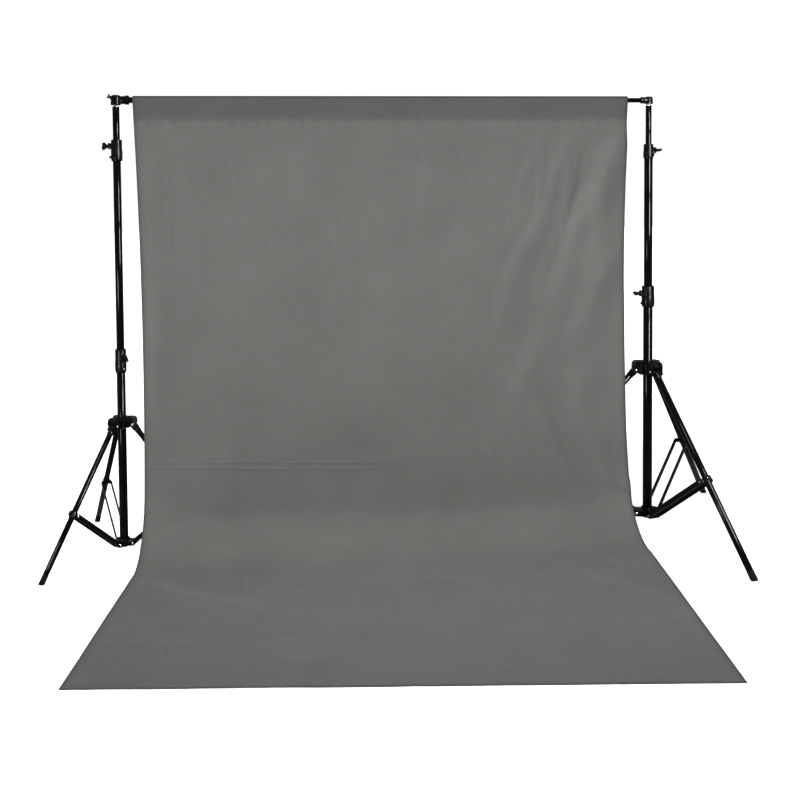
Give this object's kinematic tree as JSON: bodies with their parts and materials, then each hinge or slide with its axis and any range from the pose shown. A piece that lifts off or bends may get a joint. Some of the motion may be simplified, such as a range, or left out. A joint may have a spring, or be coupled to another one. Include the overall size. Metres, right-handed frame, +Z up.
{
  "type": "background support system",
  "caption": "Two folding light stands with telescoping columns carry a sectional crossbar, from which a seamless cloth backdrop hangs and sweeps forward over the floor",
  "frame": {"origin": "on the floor, at the middle of the whole footprint", "axes": "+X runs along the crossbar, the backdrop sweeps forward towards -Y, +Z is up"},
  "size_m": [3.9806, 2.5946, 2.5332],
  "materials": {
    "black_tube": "satin black coated tube",
    "black_casting": "semi-matt black painted casting",
    "black_plastic": "moulded black nylon",
    "rubber": "moulded black rubber",
    "bright_steel": "bright plated steel",
    "backdrop_fabric": "matt grey woven cloth"
  },
  "bodies": {
    "root": {"backdrop_drop": "backdrop_fabric", "backdrop_sweep": "backdrop_fabric", "left_lower_tube": "black_tube", "left_lower_lock_collar": "black_plastic", "left_base_hub": "black_casting", "left_base_plug": "black_plastic", "right_lower_tube": "black_tube", "right_lower_lock_collar": "black_plastic", "right_base_hub": "black_casting", "right_base_plug": "black_plastic"},
    "crossbar": {"bar_left_end_fitting": "black_casting", "bar_left_section": "black_tube", "bar_middle_section": "black_tube", "bar_right_end_fitting": "black_casting", "bar_right_section": "black_tube", "bar_stop_ring": "black_plastic", "left_top_tube": "black_tube", "left_spigot": "bright_steel", "right_top_tube": "black_tube", "right_spigot": "bright_steel"},
    "left_middle_section": {"left_middle_tube": "black_tube", "left_upper_lock_collar": "black_plastic", "left_guide_bush": "black_plastic"},
    "left_hub": {"left_leg_hub": "black_casting"},
    "left_leg_1": {"left_leg_1": "black_tube", "left_foot_1": "rubber", "left_leg_clip_1": "black_plastic"},
    "left_brace_1": {"left_brace_1": "black_tube"},
    "left_leg_2": {"left_leg_2": "black_tube", "left_foot_2": "rubber", "left_leg_clip_2": "black_plastic"},
    "left_brace_2": {"left_brace_2": "black_tube"},
    "left_leg_3": {"left_leg_3": "black_tube", "left_foot_3": "rubber", "left_leg_clip_3": "black_plastic"},
    "left_brace_3": {"left_brace_3": "black_tube"},
    "left_lower_knob": {"left_lower_lock_knob": "black_plastic"},
    "left_upper_knob": {"left_upper_lock_knob": "black_plastic"},
    "left_wing_bolt": {"bar_left_wing_bolt": "black_casting"},
    "right_middle_section": {"right_middle_tube": "black_tube", "right_upper_lock_collar": "black_plastic", "right_guide_bush": "black_plastic"},
    "right_hub": {"right_leg_hub": "black_casting"},
    "right_leg_1": {"right_leg_1": "black_tube", "right_foot_1": "rubber", "right_leg_clip_1": "black_plastic"},
    "right_brace_1": {"right_brace_1": "black_tube"},
    "right_leg_2": {"right_leg_2": "black_tube", "right_foot_2": "rubber", "right_leg_clip_2": "black_plastic"},
    "right_brace_2": {"right_brace_2": "black_tube"},
    "right_leg_3": {"right_leg_3": "black_tube", "right_foot_3": "rubber", "right_leg_clip_3": "black_plastic"},
    "right_brace_3": {"right_brace_3": "black_tube"},
    "right_lower_knob": {"right_lower_lock_knob": "black_plastic"},
    "right_upper_knob": {"right_upper_lock_knob": "black_plastic"},
    "right_wing_bolt": {"bar_right_wing_bolt": "black_casting"},
    "snap_button_1": {"bar_snap_button_1": "bright_steel"},
    "snap_button_2": {"bar_snap_button_2": "bright_steel"}
  },
  "joints": [
    {"name": "bar_height", "type": "slide", "parent": "root", "child": "crossbar", "axis": [0, 0, 1], "range_m": [-0.9, 0], "deforming": ["backdrop_drop"]},
    {"name": "left_middle_slide", "type": "slide", "parent": "root", "child": "left_middle_section", "axis": [0, 0, 1], "range_m": [-0.757, 0]},
    {"name": "left_leg_fold", "type": "slide", "parent": "root", "child": "left_hub", "axis": [0, 0, 1], "range_m": [0, 0.233]},
    {"name": "left_leg_1_pivot", "type": "hinge", "parent": "left_hub", "child": "left_leg_1", "pos_m": [-1.57026, 0.60969, 0.71], "axis": [0.0976, 0.9952, 0], "range_deg": [0, 33.46]},
    {"name": "left_brace_1_pivot", "type": "hinge", "parent": "root", "child": "left_brace_1", "pos_m": [-1.57822, 0.61047, 0.046], "axis": [-0.0976, -0.9952, 0], "range_deg": [0, 47.53]},
    {"name": "left_leg_2_pivot", "type": "hinge", "parent": "left_hub", "child": "left_leg_2", "pos_m": [-1.65757, 0.6722, 0.71], "axis": [-0.9107, -0.4131, 0], "range_deg": [0, 33.46]},
    {"name": "left_brace_2_pivot", "type": "hinge", "parent": "root", "child": "left_brace_2", "pos_m": [-1.65427, 0.66492, 0.046], "axis": [0.9107, 0.4131, 0], "range_deg": [0, 47.53]},
    {"name": "left_leg_3_pivot", "type": "hinge", "parent": "left_hub", "child": "left_leg_3", "pos_m": [-1.66805, 0.56533, 0.71], "axis": [0.8131, -0.5821, 0], "range_deg": [0, 33.46]},
    {"name": "left_brace_3_pivot", "type": "hinge", "parent": "root", "child": "left_brace_3", "pos_m": [-1.66339, 0.57183, 0.046], "axis": [-0.8131, 0.5821, 0], "range_deg": [0, 47.53]},
    {"name": "left_lower_knob_turn", "type": "hinge", "parent": "root", "child": "left_lower_knob", "pos_m": [-1.6068, 0.57843, 1.085], "axis": [0.5592, -0.829, 0], "range_deg": [0, 270]},
    {"name": "left_upper_knob_turn", "type": "hinge", "parent": "left_middle_section", "child": "left_upper_knob", "pos_m": [-1.67646, 0.61574, 2.246], "axis": [-1, 0, 0], "range_deg": [0, 270]},
    {"name": "left_wing_bolt_turn", "type": "hinge", "parent": "crossbar", "child": "left_wing_bolt", "pos_m": [-1.66363, 0.61574, 2.51484], "axis": [-0.8829, 0, 0.4695], "range_deg": [0, 350]},
    {"name": "right_middle_slide", "type": "slide", "parent": "root", "child": "right_middle_section", "axis": [0, 0, 1], "range_m": [-0.721, 0]},
    {"name": "right_leg_fold", "type": "slide", "parent": "root", "child": "right_hub", "axis": [0, 0, 1], "range_m": [0, 0.307]},
    {"name": "right_leg_1_pivot", "type": "hinge", "parent": "right_hub", "child": "right_leg_1", "pos_m": [1.38932, 0.54905, 0.94], "axis": [0.9527, 0.304, 0], "range_deg": [0, 21.28]},
    {"name": "right_brace_1_pivot", "type": "hinge", "parent": "root", "child": "right_brace_1", "pos_m": [1.38811, 0.55287, 0.1], "axis": [-0.9527, -0.304, 0], "range_deg": [0, 30.54]},
    {"name": "right_leg_2_pivot", "type": "hinge", "parent": "right_hub", "child": "right_leg_2", "pos_m": [1.41515, 0.66751, 0.94], "axis": [-0.7396, 0.673, 0], "range_deg": [0, 21.28]},
    {"name": "right_brace_2_pivot", "type": "hinge", "parent": "root", "child": "right_brace_2", "pos_m": [1.41246, 0.66456, 0.1], "axis": [0.7396, -0.673, 0], "range_deg": [0, 30.54]},
    {"name": "right_leg_3_pivot", "type": "hinge", "parent": "right_hub", "child": "right_leg_3", "pos_m": [1.29965, 0.63065, 0.94], "axis": [-0.213, -0.977, 0], "range_deg": [0, 21.28]},
    {"name": "right_brace_3_pivot", "type": "hinge", "parent": "root", "child": "right_brace_3", "pos_m": [1.30356, 0.6298, 0.1], "axis": [0.213, 0.977, 0], "range_deg": [0, 30.54]},
    {"name": "right_lower_knob_turn", "type": "hinge", "parent": "root", "child": "right_lower_knob", "pos_m": [1.31704, 0.61574, 1.385], "axis": [-1, 0, 0], "range_deg": [0, 270]},
    {"name": "right_upper_knob_turn", "type": "hinge", "parent": "right_middle_section", "child": "right_upper_knob", "pos_m": [1.39949, 0.58642, 2.211], "axis": [0.7314, -0.682, 0], "range_deg": [0, 270]},
    {"name": "right_wing_bolt_turn", "type": "hinge", "parent": "crossbar", "child": "right_wing_bolt", "pos_m": [1.36804, 0.64124, 2.498], "axis": [0, 1, 0], "range_deg": [0, 350]},
    {"name": "snap_button_1_press", "type": "slide", "parent": "crossbar", "child": "snap_button_1", "axis": [0, -1, 0], "range_m": [0, 0.003], "stiffness_N_per_m": 300},
    {"name": "snap_button_2_press", "type": "slide", "parent": "crossbar", "child": "snap_button_2", "axis": [0, -1, 0], "range_m": [0, 0.003], "stiffness_N_per_m": 300}
  ],
  "couplings": [
    {"joint": "left_middle_slide", "follows": "bar_height", "ratio": 0.84},
    {"joint": "left_leg_1_pivot", "follows": "left_leg_fold", "rad_per_m": 2.503},
    {"joint": "left_brace_1_pivot", "follows": "left_leg_fold", "rad_per_m": 3.5563},
    {"joint": "left_leg_2_pivot", "follows": "left_leg_fold", "rad_per_m": 2.503},
    {"joint": "left_brace_2_pivot", "follows": "left_leg_fold", "rad_per_m": 3.5563},
    {"joint": "left_leg_3_pivot", "follows": "left_leg_fold", "rad_per_m": 2.503},
    {"joint": "left_brace_3_pivot", "follows": "left_leg_fold", "rad_per_m": 3.5563},
    {"joint": "right_middle_slide", "follows": "bar_height", "ratio": 0.8},
    {"joint": "right_leg_1_pivot", "follows": "right_leg_fold", "rad_per_m": 1.2071},
    {"joint": "right_brace_1_pivot", "follows": "right_leg_fold", "rad_per_m": 1.7334},
    {"joint": "right_leg_2_pivot", "follows": "right_leg_fold", "rad_per_m": 1.2071},
    {"joint": "right_brace_2_pivot", "follows": "right_leg_fold", "rad_per_m": 1.7334},
    {"joint": "right_leg_3_pivot", "follows": "right_leg_fold", "rad_per_m": 1.2071},
    {"joint": "right_brace_3_pivot", "follows": "right_leg_fold", "rad_per_m": 1.7334}
  ]
}
